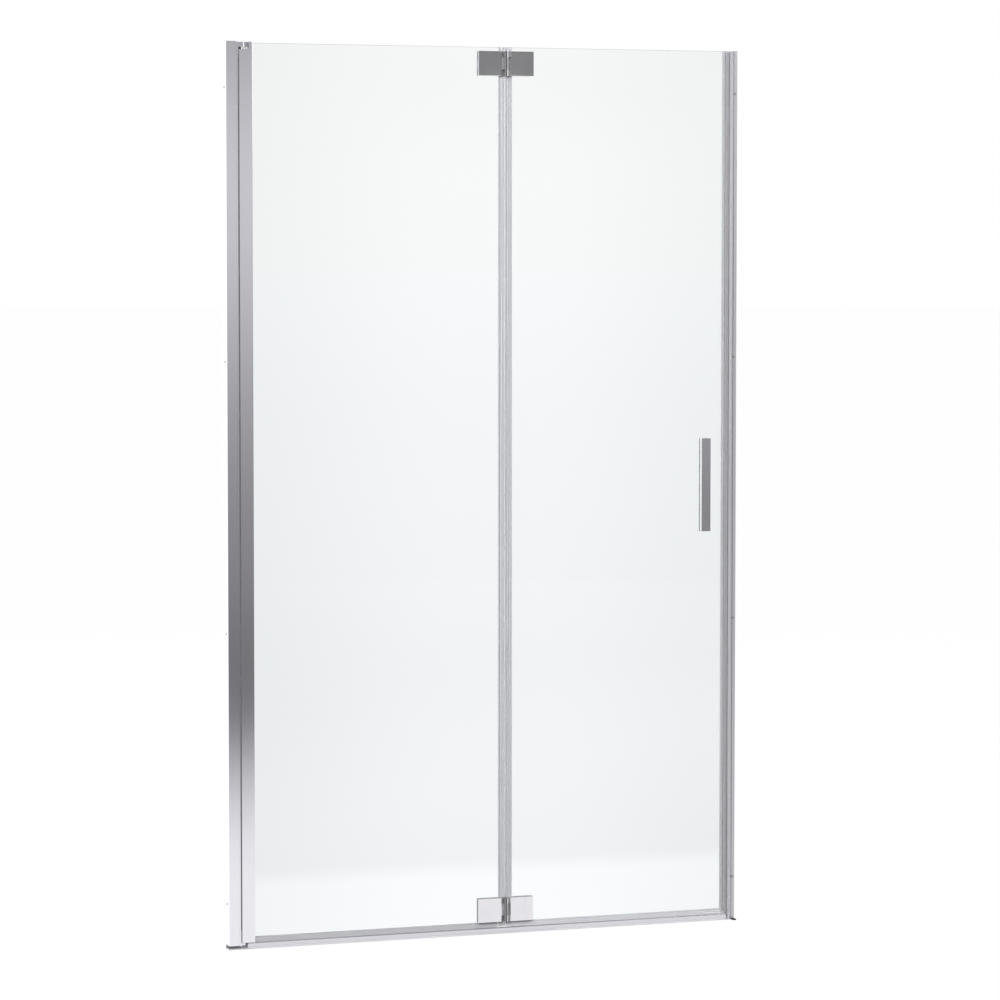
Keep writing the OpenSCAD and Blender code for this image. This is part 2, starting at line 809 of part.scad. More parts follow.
// Cuts a vertical seal back behind the leaves of the centre hinges
module leaf_cut(side) {
    near = leaf_off - seal_clear;
    far = leaf_off + leaf;
    for (hz = hinge_zs)
        translate([fold_x, 0, hz])
            block([side < 0 ? -far : near, -channel_y, -leaf / 2 - seal_clear],
                  [side < 0 ? -near : far, channel_y, leaf / 2 + seal_clear]);
}

// Seal plan on the glass edge at x: side -1 for the end of a panel, 1 for its start
module edge_grip(x, side) {
    x0 = side > 0 ? x - seal_web : x - seal_cover;
    for (y0 = [-seal_y, glass_y])
        area([x0, y0], [x0 + seal_cover + seal_web, y0 + seal_t]);
    area([side > 0 ? x - seal_web : x, -seal_y], [side > 0 ? x : x + seal_web, seal_y]);
}

module centre_seal_a() {
    color("gainsboro") difference() {
        raise(seal_lift, glass_z1) {
            edge_grip(glass_a_x1, -1);
            difference() {
                translate([bulb_x, 0]) circle(d = bulb_d);
                translate([bulb_x, 0]) circle(d = bulb_d - 2 * bulb_t);
            }
            area([glass_a_x1 + seal_web - eps, -bulb_t], [bulb_x - bulb_d / 2 + bulb_t, bulb_t]);
        }
        leaf_cut(-1);
    }
}

module centre_seal_b() {
    color("gainsboro") difference() {
        raise(seal_lift, glass_z1) edge_grip(glass_b_x0, 1);
        leaf_cut(1);
    }
}

module strike_edge_seal() {
    color("gainsboro") raise(seal_lift, glass_z1) {
        edge_grip(glass_b_x1, -1);
        difference() {
            area([nose_x0 - eps, -nose_w / 2], [nose_x1, nose_w / 2]);
            area([nose_x0 + nose_floor, nose_t - nose_w / 2], [nose_x1 - nose_t, nose_w / 2 - nose_t]);
        }
    }
}

module door_magnet() {
    half = nose_w / 2 - nose_t - play;
    color("dimgray") raise(seal_lift + magnet_in, glass_z1 - magnet_in)
        area([nose_x0 + nose_floor + play, -half], [nose_x1 - nose_t - play, half]);
}

// Outer hinge leaf: side -1 carries the middle knuckle, side 1 the two end knuckles
module outer_leaf(side, hz) {
    half = knuckle_h / 2;
    spans = side < 0 ? [[-half, half]] : [[-leaf / 2, -half - run_gap], [half + run_gap, leaf / 2]];
    color("silver") difference() {
        union() {
            bevelled_plate([leaf_x(side), leaf_front, hz - leaf / 2],
                           [leaf_x(side) + leaf, leaf_y, hz + leaf / 2], -1);
            translate([fold_x, 0, hz]) for (s = spans) {
                block([side < 0 ? -leaf_off - edge_cut : 0, leaf_front + edge_cut, s[0]],
                      [side < 0 ? 0 : leaf_off + edge_cut, leaf_y - knuckle_back, s[1]]);
                rod_z(0, fold_y, s[0], s[1], barrel_r);
            }
        }
        rod_z(fold_x, fold_y, hz - leaf, hz + leaf, hinge_pin_r + pin_fit);
        for (s = [-1, 1])
            rod_y(fold_x + side * leaf_mid, leaf_front + bolt_short - bolt_room, leaf_y + over,
                hz + s * leaf_bolt_gap / 2, leaf_bolt_r + pin_fit);
    }
}

module top_hinge_leaf_a() { outer_leaf(-1, hinge_zs[1]); }
module bottom_hinge_leaf_a() { outer_leaf(-1, hinge_zs[0]); }
module top_hinge_leaf_b() { outer_leaf(1, hinge_zs[1]); }
module bottom_hinge_leaf_b() { outer_leaf(1, hinge_zs[0]); }

// Inner plate that clamps the glass against the outer leaf
module clamp_plate(side, hz) {
    color("silver") difference() {
        bevelled_plate([leaf_x(side), clamp_y0, hz - leaf / 2],
                       [leaf_x(side) + leaf, clamp_y1, hz + leaf / 2], 1);
        for (s = [-1, 1])
            from_rear(fold_x + side * leaf_mid, clamp_y1, hz + s * leaf_bolt_gap / 2)
                sunk_hole(leaf_bolt_r, leaf_bolt_r, clamp_t + over, pin_fit);
    }
}

module top_clamp_plate_a() { clamp_plate(-1, hinge_zs[1]); }
module bottom_clamp_plate_a() { clamp_plate(-1, hinge_zs[0]); }
module top_clamp_plate_b() { clamp_plate(1, hinge_zs[1]); }
module bottom_clamp_plate_b() { clamp_plate(1, hinge_zs[0]); }

module leaf_gaskets(side) {
    x0 = leaf_x(side) + gasket_in;
    half = leaf / 2 - gasket_in;
    color("darkgray") for (hz = hinge_zs) difference() {
        for (y0 = [leaf_y, glass_y])
            block([x0, y0, hz - half], [x0 + 2 * half, y0 + leaf_pad, hz + half]);
        for (s = [-1, 1])
            rod_y(fold_x + side * leaf_mid, -channel_y, channel_y, hz + s * leaf_bolt_gap / 2, sleeve_r);
    }
}

module leaf_gaskets_a() { leaf_gaskets(-1); }
module leaf_gaskets_b() { leaf_gaskets(1); }

module clamp_bolts(side) {
    color("dimgray") for (h = leaf_holes(side))
        from_rear(h[0], clamp_y1, h[1])
            sunk_screw(leaf_bolt_r, leaf_bolt_r, clamp_y1 - leaf_front - bolt_short);
}

module clamp_bolts_a() { clamp_bolts(-1); }
module clamp_bolts_b() { clamp_bolts(1); }

// Plastic sleeves that keep the bolts off the glass
module sleeve(x, z, r, bolt_r) {
    color("whitesmoke") difference() {
        rod_y(x, -glass_y, glass_y, z, r);
        rod_y(x, -glass_y - over, glass_y + over, z, bolt_r + pin_fit);
    }
}

module bolt_sleeves_a() {
    for (h = leaf_holes(-1)) sleeve(h[0], h[1], sleeve_r, leaf_bolt_r);
}

module bolt_sleeves_b() {
    for (h = leaf_holes(1)) sleeve(h[0], h[1], sleeve_r, leaf_bolt_r);
    for (h = handle_holes) sleeve(h[0], h[1], handle_sleeve_r, handle_bolt_r);
}

// Pin through the knuckles of one centre hinge
module hinge_pin(hz) {
    color("lightgray")
        chamfered_pin(fold_x, fold_y, hz - leaf / 2 + pin_set, hz + leaf / 2 - pin_set, hinge_pin_r);
}

module top_hinge_pin() { hinge_pin(hinge_zs[1]); }
module bottom_hinge_pin() { hinge_pin(hinge_zs[0]); }

// Flat bar handle outside, with a plain plate inside
module handle_bar() {
    color("silver") difference() {
        bevelled_plate([handle_x - handle_w / 2, handle_front, handle_z - handle_l / 2],
                       [handle_x + handle_w / 2, handle_y, handle_z + handle_l / 2], -1);
        for (h = handle_holes)
            rod_y(h[0], handle_front + bolt_short - bolt_room, handle_y + over, h[1],
                handle_bolt_r + pin_fit);
    }
}

module handle_back_plate() {
    color("silver") difference() {
        bevelled_plate([handle_x - handle_w / 2, handle_back_y, handle_z - handle_l / 2],
                       [handle_x + handle_w / 2, handle_back_y1, handle_z + handle_l / 2], 1);
        for (h = handle_holes)
            from_rear(h[0], handle_back_y1, h[1])
                sunk_hole(handle_bolt_r, handle_bolt_r, handle_back_t + over, pin_fit);
    }
}

module handle_gaskets() {
    half_w = handle_w / 2 - gasket_in;
    half_l = handle_l / 2 - gasket_in;
    color("darkgray") difference() {
        for (y0 = [handle_y, glass_y])
            block([handle_x - half_w, y0, handle_z - half_l],
                  [handle_x + half_w, y0 + handle_pad, handle_z + half_l]);
        for (h = handle_holes)
            rod_y(h[0], -channel_y, channel_y, h[1], handle_sleeve_r);
    }
}

module handle_bolts() {
    color("dimgray") for (h = handle_holes)
        from_rear(h[0], handle_back_y1, h[1])
            sunk_screw(handle_bolt_r, handle_bolt_r, handle_back_y1 - handle_front - bolt_short);
}

wall_channel_left();
wall_channel_right();
hinge_post();
post_clamp_screws();
top_cap_left();
top_cap_right();
top_pivot_bracket();
bottom_pivot_bracket();
top_pivot_pin();
bottom_pivot_pin();
bracket_screws();
hinge_gap_seal();
foot_pad_left();
foot_pad_right();
sill();
sill_end_seal();
strike_post();
strike_magnet();
strike_clips();
top_arm_pad();
pivot_stile();
stile_top_block();
stile_bottom_block();
stile_block_screws();
top_pivot_bush();
bottom_pivot_bush();
glazing_gaskets();
glass_a();
drip_seal_a();
centre_seal_a();
top_hinge_leaf_a();
bottom_hinge_leaf_a();
top_clamp_plate_a();
bottom_clamp_plate_a();
leaf_gaskets_a();
clamp_bolts_a();
bolt_sleeves_a();
top_hinge_pin();
bottom_hinge_pin();
glass_b();
drip_seal_b();
centre_seal_b();
top_hinge_leaf_b();
bottom_hinge_leaf_b();
top_clamp_plate_b();
bottom_clamp_plate_b();
leaf_gaskets_b();
clamp_bolts_b();
bolt_sleeves_b();
strike_edge_seal();
door_magnet();
handle_bar();
handle_back_plate();
handle_gaskets();
handle_bolts();
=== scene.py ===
# Looks, light and camera for the folding shower door.
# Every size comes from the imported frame, in metres, +X to the strike wall and +Y into the shower.
import json
import math

import bpy
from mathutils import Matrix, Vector


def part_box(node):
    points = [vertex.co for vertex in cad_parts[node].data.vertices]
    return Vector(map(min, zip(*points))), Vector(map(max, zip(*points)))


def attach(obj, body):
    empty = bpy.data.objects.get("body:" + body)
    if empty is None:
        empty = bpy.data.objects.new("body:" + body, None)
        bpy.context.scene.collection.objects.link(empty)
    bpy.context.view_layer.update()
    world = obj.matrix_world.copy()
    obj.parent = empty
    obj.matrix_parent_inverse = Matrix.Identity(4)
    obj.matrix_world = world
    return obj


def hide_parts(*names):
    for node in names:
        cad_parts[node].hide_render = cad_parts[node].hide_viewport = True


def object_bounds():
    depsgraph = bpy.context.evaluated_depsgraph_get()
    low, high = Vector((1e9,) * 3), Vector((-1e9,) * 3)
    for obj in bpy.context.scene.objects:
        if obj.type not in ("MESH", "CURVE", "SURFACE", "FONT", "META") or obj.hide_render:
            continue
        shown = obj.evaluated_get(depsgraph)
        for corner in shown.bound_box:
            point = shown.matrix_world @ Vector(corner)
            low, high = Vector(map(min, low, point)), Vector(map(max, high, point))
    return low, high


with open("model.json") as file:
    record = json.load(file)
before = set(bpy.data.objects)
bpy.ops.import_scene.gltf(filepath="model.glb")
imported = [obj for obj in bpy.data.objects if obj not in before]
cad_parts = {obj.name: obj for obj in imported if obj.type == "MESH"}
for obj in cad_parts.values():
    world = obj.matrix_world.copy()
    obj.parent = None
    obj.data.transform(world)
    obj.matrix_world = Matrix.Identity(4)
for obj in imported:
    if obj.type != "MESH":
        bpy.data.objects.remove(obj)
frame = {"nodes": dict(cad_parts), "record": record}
cadLow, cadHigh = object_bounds()
nodes = frame["nodes"]
mm = 0.001
print("frame loaded:", len(nodes), "nodes")


# Shader helpers
def addNode(tree, kind, sockets=None, **settings):
    made = tree.nodes.new("ShaderNode" + kind)
    for key, value in settings.items():
        setattr(made, key, value)
    for socket, value in (sockets or {}).items():
        made.inputs[socket].default_value = value
    return made


def startMaterial(name, sockets):
    mat = bpy.data.materials.new(name)
    mat.use_nodes = True
    shader = mat.node_tree.nodes["Principled BSDF"]
    for socket, value in sockets.items():
        shader.inputs[socket].default_value = value
    return mat, mat.node_tree, shader


# Noise in the part's own space, stretched to suit the way a surface was made
def grainPattern(tree, scale, stretch=(1, 1, 1), detail=3.0):
    coords = addNode(tree, "TexCoord")
    mapping = addNode(tree, "Mapping", {"Scale": stretch})
    noise = addNode(tree, "TexNoise", {"Scale": scale, "Detail": detail})
    tree.links.new(coords.outputs["Object"], mapping.inputs["Vector"])
    tree.links.new(mapping.outputs["Vector"], noise.inputs["Vector"])
    return noise.outputs["Fac"]


# Noise values mostly lie within this range
noiseSpan = (0.3, 0.7)


def spreadValue(tree, pattern, low, high):
    spread = addNode(tree, "MapRange", {
        "From Min": noiseSpan[0], "From Max": noiseSpan[1], "To Min": low, "To Max": high})
    tree.links.new(pattern, spread.inputs["Value"])
    return spread.outputs["Result"]


def varyColour(tree, shader, pattern, dark, light):
    mix = addNode(tree, "Mix", data_type="RGBA")
    mix.inputs["A"].default_value = (*dark, 1)
    mix.inputs["B"].default_value = (*light, 1)
    tree.links.new(spreadValue(tree, pattern, 0, 1), mix.inputs["Factor"])
    tree.links.new(mix.outputs["Result"], shader.inputs["Base Color"])


def addBump(tree, shader, pattern, strength, distance):
    bump = addNode(tree, "Bump", {"Strength": strength, "Distance": distance})
    tree.links.new(pattern, bump.inputs["Height"])
    tree.links.new(bump.outputs["Normal"], shader.inputs["Normal"])


# Soft step from 0 to 1 between two places along an axis
def softStep(tree, value, start, stop):
    step = addNode(tree, "MapRange", {"From Min": start, "From Max": stop}, interpolation_type="SMOOTHSTEP")
    tree.links.new(value, step.inputs["Value"])
    return step.outputs["Result"]


def times(tree, first, second):
    product = addNode(tree, "Math", operation="MULTIPLY")
    tree.links.new(first, product.inputs[0])
    tree.links.new(second, product.inputs[1])
    return product.outputs["Value"]


def doorAxis(tree, axis):
    axes = addNode(tree, "SeparateXYZ")
    tree.links.new(addNode(tree, "TexCoord").outputs["Object"], axes.inputs["Vector"])
    return axes.outputs[axis]


# 1 between two places along an axis, 0 outside them
def withinSpan(tree, axis, low, high, soft):
    place = doorAxis(tree, axis)
    return times(tree, softStep(tree, place, low, low + soft), softStep(tree, place, high, high - soft))


# Gives part of a piece another colour, and other roughness or metal
def coverWith(tree, shader, share, colour, levels):
    mix = addNode(tree, "Mix", data_type="RGBA")
    tree.links.new(share, mix.inputs["Factor"])
    tree.links.new(shader.inputs["Base Color"].links[0].from_socket, mix.inputs["A"])
    mix.inputs["B"].default_value = (*colour, 1)
    tree.links.new(mix.outputs["Result"], shader.inputs["Base Color"])
    for socket, level in levels.items():
        blend = addNode(tree, "Mix")
        tree.links.new(share, blend.inputs["Factor"])
        blend.inputs["A"].default_value = shader.inputs[socket].default_value
        if shader.inputs[socket].links:
            tree.links.new(shader.inputs[socket].links[0].from_socket, blend.inputs["A"])
        blend.inputs["B"].default_value = level
        tree.links.new(blend.outputs["Result"], shader.inputs[socket])


# Bright anodised extrusions, with faint drawing lines along their length
extrusionLook = {
    "dark": (0.772, 0.764, 0.805),
    "light": (0.80, 0.79, 0.83),
    "lineScale": 420,
    "lineStretch": 0.004,
    "lineBump": 0.12,
    "lineDepth": 0.000003,
}


def brightAluminium(name, lengthwise, tone=1.0, roughness=(0.08, 0.12)):
    look = extrusionLook
    stretch = [1, 1, 1]
    stretch[lengthwise] = look["lineStretch"]
    mat, tree, shader = startMaterial(name, {"Metallic": 1.0})
    lines = grainPattern(tree, look["lineScale"], stretch)
    varyColour(tree, shader, lines, [tone * v for v in look["dark"]], [tone * v for v in look["light"]])
    tree.links.new(spreadValue(tree, lines, *roughness), shader.inputs["Roughness"])
    addBump(tree, shader, lines, look["lineBump"], look["lineDepth"])
    return mat, tree, shader


# Polished chrome on the fittings, slightly smudged
chromeLook = {
    "dark": (0.735, 0.725, 0.76),
    "light": (0.765, 0.755, 0.785),
    "roughness": (0.035, 0.08),
    "smudgeScale": 28,
    "smudgeDetail": 6.0,
    "grainScale": 160,
    "grainBump": 0.04,
    "grainDepth": 0.00002,
}


def polishedChrome(name):
    look = chromeLook
    mat, tree, shader = startMaterial(name, {"Metallic": 1.0})
    smudges = grainPattern(tree, look["smudgeScale"], detail=look["smudgeDetail"])
    varyColour(tree, shader, smudges, look["dark"], look["light"])
    tree.links.new(spreadValue(tree, smudges, *look["roughness"]), shader.inputs["Roughness"])
    addBump(tree, shader, grainPattern(tree, look["grainScale"]), look["grainBump"], look["grainDepth"])
    return mat, tree, shader


# Knuckles between the leaves are satin. On them a dark line along the barrel is painted shade of the slit
# between the leaves, the lighter bands beside it are painted highlights, and the darker band on leaf B's arm
# is painted shade.
# Places are in millimetres from the fold axis, tones are shares of white.
knuckleLook = {
    "reach": 10.2,
    "soft": 0.4,
    "tone": 0.39,
    "tint": (1.0, 0.99, 1.03),
    "levels": {"Roughness": 0.42, "Metallic": 0.35},
    "shadeAndHighlightA": [(-2.8, 0.1, 0.06), (0.1, 2.6, 0.52), (2.6, 4.3, 0.44)],
    "shadeAndHighlightB": [(-2.8, 0.1, 0.06), (0.1, 2.8, 0.86), (2.8, 5.2, 0.58), (7.4, 10.2, 0.24)],
}
# Thin dark line along the upper edge of the lower leaves: painted shade
leafTopShade = {
    "height": 0.4,
    "past": 1.0,
    "soft": 0.2,
    "colour": (0.10, 0.10, 0.103),
    "levels": {"Roughness": 0.5, "Metallic": 0.2},
}


def hingeChrome(name, lines):
    look = knuckleLook
    mat, tree, shader = polishedChrome(name)
    fold = sum(end.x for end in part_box("top_hinge_pin")) / 2
    spans = [(-look["reach"], look["reach"], look["tone"])] + look[lines]
    # the first span is the satin knuckle, the later ones are painted shade and painted highlight lines
    for start, stop, tone in spans:
        share = withinSpan(tree, "X", fold + start * mm, fold + stop * mm, look["soft"] * mm)
        coverWith(tree, shader, share, [tone * v for v in look["tint"]], look["levels"])
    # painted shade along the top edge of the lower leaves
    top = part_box("bottom_hinge_leaf_a")[1].z
    low, high = top - leafTopShade["height"] * mm, top + leafTopShade["past"] * mm
    edge = withinSpan(tree, "Z", low, high, leafTopShade["soft"] * mm)
    coverWith(tree, shader, edge, leafTopShade["colour"], leafTopShade["levels"])
    return mat


# The face of the plate behind the handle that lies towards the glass is coloured dark, and looks dark
# through the glass
darkFaceLook = {
    "depth": (0.3, 0.1),
    "colour": (0.06, 0.06, 0.062),
    "levels": {"Roughness": 0.6, "Metallic": 0.0},
}


def darkFacedPlate():
    mat, tree, shader = polishedChrome("darkFacedPlate")
    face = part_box("handle_back_plate")[0].y
    start, stop = darkFaceLook["depth"]
    # dark colour on the plate's face towards the glass
    darkFace = softStep(tree, doorAxis(tree, "Y"), face + start * mm, face + stop * mm)
    coverWith(tree, shader, darkFace, darkFaceLook["colour"], darkFaceLook["levels"])
    return mat


# Bar of the handle, whose narrow left side has a painted highlight
handleBar = {
    "wider": 0.9,
    "round": 0.4,
    "segments": 4,
    "sideDepth": (0.45, 0.3),
    "sideHighlight": (0.98, 0.97, 0.99),
    "sideLevels": {"Metallic": 0.75, "Roughness": 0.3},
}


def barChrome():
    mat, tree, shader = polishedChrome("barChrome")
    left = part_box("handle_bar")[0].x - handleBar["wider"] * mm
    start, stop = handleBar["sideDepth"]
    # painted highlight on the bar's narrow left side
    side = softStep(tree, doorAxis(tree, "X"), left + start * mm, left + stop * mm)
    coverWith(tree, shader, side, handleBar["sideHighlight"], handleBar["sideLevels"])
    return mat


# Legs of the pivot brackets are rougher than their arms and painted darker, as painted shade
legShadeLook = {
    "side": (0.3, 0.1),
    "soft": 0.3,
    "colour": (0.46, 0.455, 0.47),
    "levels": {"Roughness": 0.40, "Metallic": 1.0},
}


def bracketChrome():
    mat, tree, shader = polishedChrome("bracketChrome")
    padLow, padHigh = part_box("top_arm_pad")
    start, stop = legShadeLook["side"]
    # painted shade on the bracket legs
    legs = times(tree, withinSpan(tree, "Z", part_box("sill")[1].z, padHigh.z, legShadeLook["soft"] * mm),
                 softStep(tree, doorAxis(tree, "X"), padLow.x + start * mm, padLow.x + stop * mm))
    coverWith(tree, shader, legs, legShadeLook["colour"], legShadeLook["levels"])
    return mat


# Clear toughened glass: green only where light runs a long way inside it
glassLook = {
    # near and far: darker tints towards the walls, painted shade; middle: the tint by the fold
    "near": (0.905, 0.922, 0.915),
    "middle": (0.978, 0.992, 0.985),
    "far": (0.925, 0.942, 0.935),
    "firstSpan": (-0.70, -0.05),
    "secondSpan": (0.12, 0.62),
    "inside": (0.68, 0.92, 0.84),
    "density": 2.5,
    "ior": 1.5,
    "waveScale": 3.0,
    "waveDetail": 1.0,
    "waveBump": 0.05,
    "waveDepth": 0.00002,
    "shadow": (0.93, 0.96, 0.95),
}


# Tints of the left and right of a pane, which change over into each other along the span. The darker tints
# towards the walls are painted shade
def clearGlass(name, left, right, span):
    look = glassLook
    sockets = {"Roughness": 0.0, "IOR": look["ior"], "Transmission Weight": 1.0}
    mat, tree, shader = startMaterial(name, sockets)
    mix = addNode(tree, "Mix", data_type="RGBA")
    mix.inputs["A"].default_value = (*left, 1)
    mix.inputs["B"].default_value = (*right, 1)
    tree.links.new(softStep(tree, doorAxis(tree, "X"), *span), mix.inputs["Factor"])
    tree.links.new(mix.outputs["Result"], shader.inputs["Base Color"])
    waves = grainPattern(tree, look["waveScale"], detail=look["waveDetail"])
    addBump(tree, shader, waves, look["waveBump"], look["waveDepth"])
    absorb = addNode(tree, "VolumeAbsorption", {"Color": (*look["inside"], 1), "Density": look["density"]})
    output = tree.nodes["Material Output"]
    tree.links.new(absorb.outputs["Volume"], output.inputs["Volume"])
    letLampsThrough(tree, shader, look["shadow"])
    return mat


# Shadow rays pass glass and vinyl, so that lamps light what is behind them
def letLampsThrough(tree, shader, tint):
    path = addNode(tree, "LightPath")
    clear = addNode(tree, "BsdfTransparent", {"Color": (*tint, 1)})
    mix = addNode(tree, "MixShader")
    tree.links.new(path.outputs["Is Shadow Ray"], mix.inputs["Fac"])
    tree.links.new(shader.outputs["BSDF"], mix.inputs[1])
    tree.links.new(clear.outputs["BSDF"], mix.inputs[2])
    tree.links.new(mix.outputs["Shader"], tree.nodes["Material Output"].inputs["Surface"])


# Translucent vinyl of the seals, drawn lengthwise
vinylLook = {
    "dark": (0.78, 0.775, 0.80),
    "light": (0.83, 0.825, 0.85),
    "roughness": (0.20, 0.30),
    "ior": 1.48,
    "clearness": 0.47,
    "lineScale": 260,
    "lineStretch": 0.004,
    "lineBump": 0.1,
    "lineDepth": 0.00001,
    "groove": (0.28, 0.277, 0.29),
    "grooveRoughness": 0.35,
    "grooveHalf": 1.1,
    "litLineTone": (0.95, 0.945, 0.965),
    "litLineClearness": 0.8,
    "shadow": (0.75, 0.75, 0.77),
}


# Places along X where dark lines are painted, and where lighter, clearer lines are painted as painted light
def clearVinyl(name, lengthwise, tone, grooves=(), bright=()):
    look = vinylLook
    stretch = [1, 1, 1]
    stretch[lengthwise] = look["lineStretch"]
    mat, tree, shader = startMaterial(name, {"IOR": look["ior"], "Transmission Weight": look["clearness"]})
    lines = grainPattern(tree, look["lineScale"], stretch)
    varyColour(tree, shader, lines, [tone * v for v in look["dark"]], [tone * v for v in look["light"]])
    tree.links.new(spreadValue(tree, lines, *look["roughness"]), shader.inputs["Roughness"])
    half = look["grooveHalf"] * mm
    for place in grooves:
        line = withinSpan(tree, "X", place - half, place + half, half)
        dark = [tone * v for v in look["groove"]]
        coverWith(tree, shader, line, dark, {"Roughness": look["grooveRoughness"]})
    # painted light: lighter, clearer lines on the seal
    for place in bright:
        line = withinSpan(tree, "X", place - half, place + half, half / 2)
        coverWith(tree, shader, line, look["litLineTone"], {"Transmission Weight": look["litLineClearness"]})
    addBump(tree, shader, lines, look["lineBump"], look["lineDepth"])
    letLampsThrough(tree, shader, look["shadow"])
    return mat


# Plain moulded and cut materials: two tones, a roughness range and a fine grain
mouldedLooks = {
    "black_rubber": {"dark": (0.014, 0.014, 0.015), "light": (0.035, 0.035, 0.036),
                     "roughness": (0.50, 0.72), "scale": 700, "depth": 0.00004},
    "gap_rubber": {"dark": (0.24, 0.24, 0.25), "light": (0.29, 0.29, 0.30),
                   "roughness": (0.46, 0.56), "scale": 700, "depth": 0.00002},
    "pad_rubber": {"dark": (0.23, 0.23, 0.235), "light": (0.29, 0.29, 0.298),
                   "roughness": (0.50, 0.66), "scale": 700, "depth": 0.00003},
    "pale_rubber": {"dark": (0.30, 0.30, 0.31), "light": (0.36, 0.36, 0.37),
                    "roughness": (0.45, 0.60), "scale": 700, "depth": 0.00003},
    "pale_gasket": {"dark": (0.55, 0.55, 0.56), "light": (0.64, 0.64, 0.65),
                    "roughness": (0.38, 0.52), "scale": 900, "depth": 0.00002},
    "grey_plastic": {"dark": (0.30, 0.30, 0.31), "light": (0.40, 0.40, 0.41),
                     "roughness": (0.38, 0.52), "scale": 900, "depth": 0.00002},
    "white_nylon": {"dark": (0.72, 0.71, 0.68), "light": (0.82, 0.81, 0.79),
                    "roughness": (0.30, 0.42), "scale": 500, "depth": 0.00001},
    "magnet_strip": {"dark": (0.36, 0.355, 0.36), "light": (0.42, 0.415, 0.42),
                     "roughness": (0.48, 0.62), "scale": 1100, "depth": 0.00002},
}


# What all the moulded materials share: their shine, fine grain and broad mottling
mouldedGrain = {"shine": 0.4, "detail": 4.0, "bump": 0.5, "mottleScale": 45, "mottleDetail": 5.0}


def mouldedMaterial(slot):
    look, grainLook = mouldedLooks[slot], mouldedGrain
    mat, tree, shader = startMaterial(slot, {"Specular IOR Level": grainLook["shine"]})
    grain = grainPattern(tree, look["scale"], detail=grainLook["detail"])
    mottling = grainPattern(tree, grainLook["mottleScale"], detail=grainLook["mottleDetail"])
    varyColour(tree, shader, mottling, look["dark"], look["light"])
    tree.links.new(spreadValue(tree, grain, *look["roughness"]), shader.inputs["Roughness"])
    addBump(tree, shader, grain, grainLook["bump"], look["depth"])
    return mat


# Turned and zinc-bright steel of pins, screws and bolts
steelLook = {
    "dark": (0.50, 0.50, 0.52),
    "light": (0.66, 0.66, 0.67),
    "roughness": (0.18, 0.34),
    "ringScale": 900,
    "ringStretch": (1, 0.15, 1),
    "ringBump": 0.3,
    "ringDepth": 0.000006,
}


def satinSteel():
    look = steelLook
    mat, tree, shader = startMaterial("satinSteel", {"Metallic": 1.0})
    rings = grainPattern(tree, look["ringScale"], look["ringStretch"])
    varyColour(tree, shader, rings, look["dark"], look["light"])
    tree.links.new(spreadValue(tree, rings, *look["roughness"]), shader.inputs["Roughness"])
    addBump(tree, shader, rings, look["ringBump"], look["ringDepth"])
    return mat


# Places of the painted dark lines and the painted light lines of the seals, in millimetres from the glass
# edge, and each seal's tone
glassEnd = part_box("glass_a")[1].x
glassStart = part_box("glass_b")[0].x
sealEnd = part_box("glass_b")[1].x
sealLines = {"foldDarkLines": (-7.5, 2.1), "bulbLitLines": (4.6, 6.8), "secondLitLine": -0.2, "strikeDarkLine": -3.7}
# seal tones below 1 are painted shade on those pieces
sealShadeTones = {"foldA": 1.0, "foldB": 0.94, "strike": 0.93, "dripA": 0.86, "dripB": 1.0}
foldDarkLines = [glassEnd + place * mm for place in sealLines["foldDarkLines"]]
bulbLitLines = [glassEnd + place * mm for place in sealLines["bulbLitLines"]]
secondLitLine = [glassStart + sealLines["secondLitLine"] * mm]
strikeDarkLine = [sealEnd + sealLines["strikeDarkLine"] * mm]
moulded = {look: mouldedMaterial(look) for look in mouldedLooks}


# Strike wall profiles are satin and darker than the left ones, the darker tone being painted shade, and the
# side that the door closes against is painted a flat light grey as painted light
strikeShadeLook = {
    "tone": 0.68,
    "roughness": (0.34, 0.42),
    "sideDepth": (0.6, 0.3),
    "side": (0.72, 0.715, 0.74),
    "sideLevels": {"Roughness": 0.5, "Metallic": 0.0},
}


def shadedSatinAluminium(name):
    return brightAluminium(name, 2, strikeShadeLook["tone"], strikeShadeLook["roughness"])


def strikeAluminium():
    mat, tree, shader = shadedSatinAluminium("strikeAluminium")
    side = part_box("strike_post")[0].x
    start, stop = strikeShadeLook["sideDepth"]
    # painted light: flat light grey on the side the door closes against
    litSide = softStep(tree, doorAxis(tree, "X"), side + start * mm, side + stop * mm)
    coverWith(tree, shader, litSide, strikeShadeLook["side"], strikeShadeLook["sideLevels"])
    return mat


# The sill is rougher than the uprights and darker, as painted shade, and its foot band is painted lighter
# and less metallic as a painted reflection of the floor
sillShadeLook = {
    "tone": 0.84,
    "roughness": (0.16, 0.22),
    "footHeight": (2.8, 2.0),
    "foot": (0.78, 0.775, 0.795),
    "footLevels": {"Roughness": 0.45, "Metallic": 0.35},
}


def sillMetal():
    mat, tree, shader = brightAluminium("sillAluminium", 0, sillShadeLook["tone"], sillShadeLook["roughness"])
    start, stop = sillShadeLook["footHeight"]
    # painted reflection of the floor on the sill's foot band
    foot = softStep(tree, doorAxis(tree, "Z"), start * mm, stop * mm)
    coverWith(tree, shader, foot, sillShadeLook["foot"], sillShadeLook["footLevels"])
    return mat


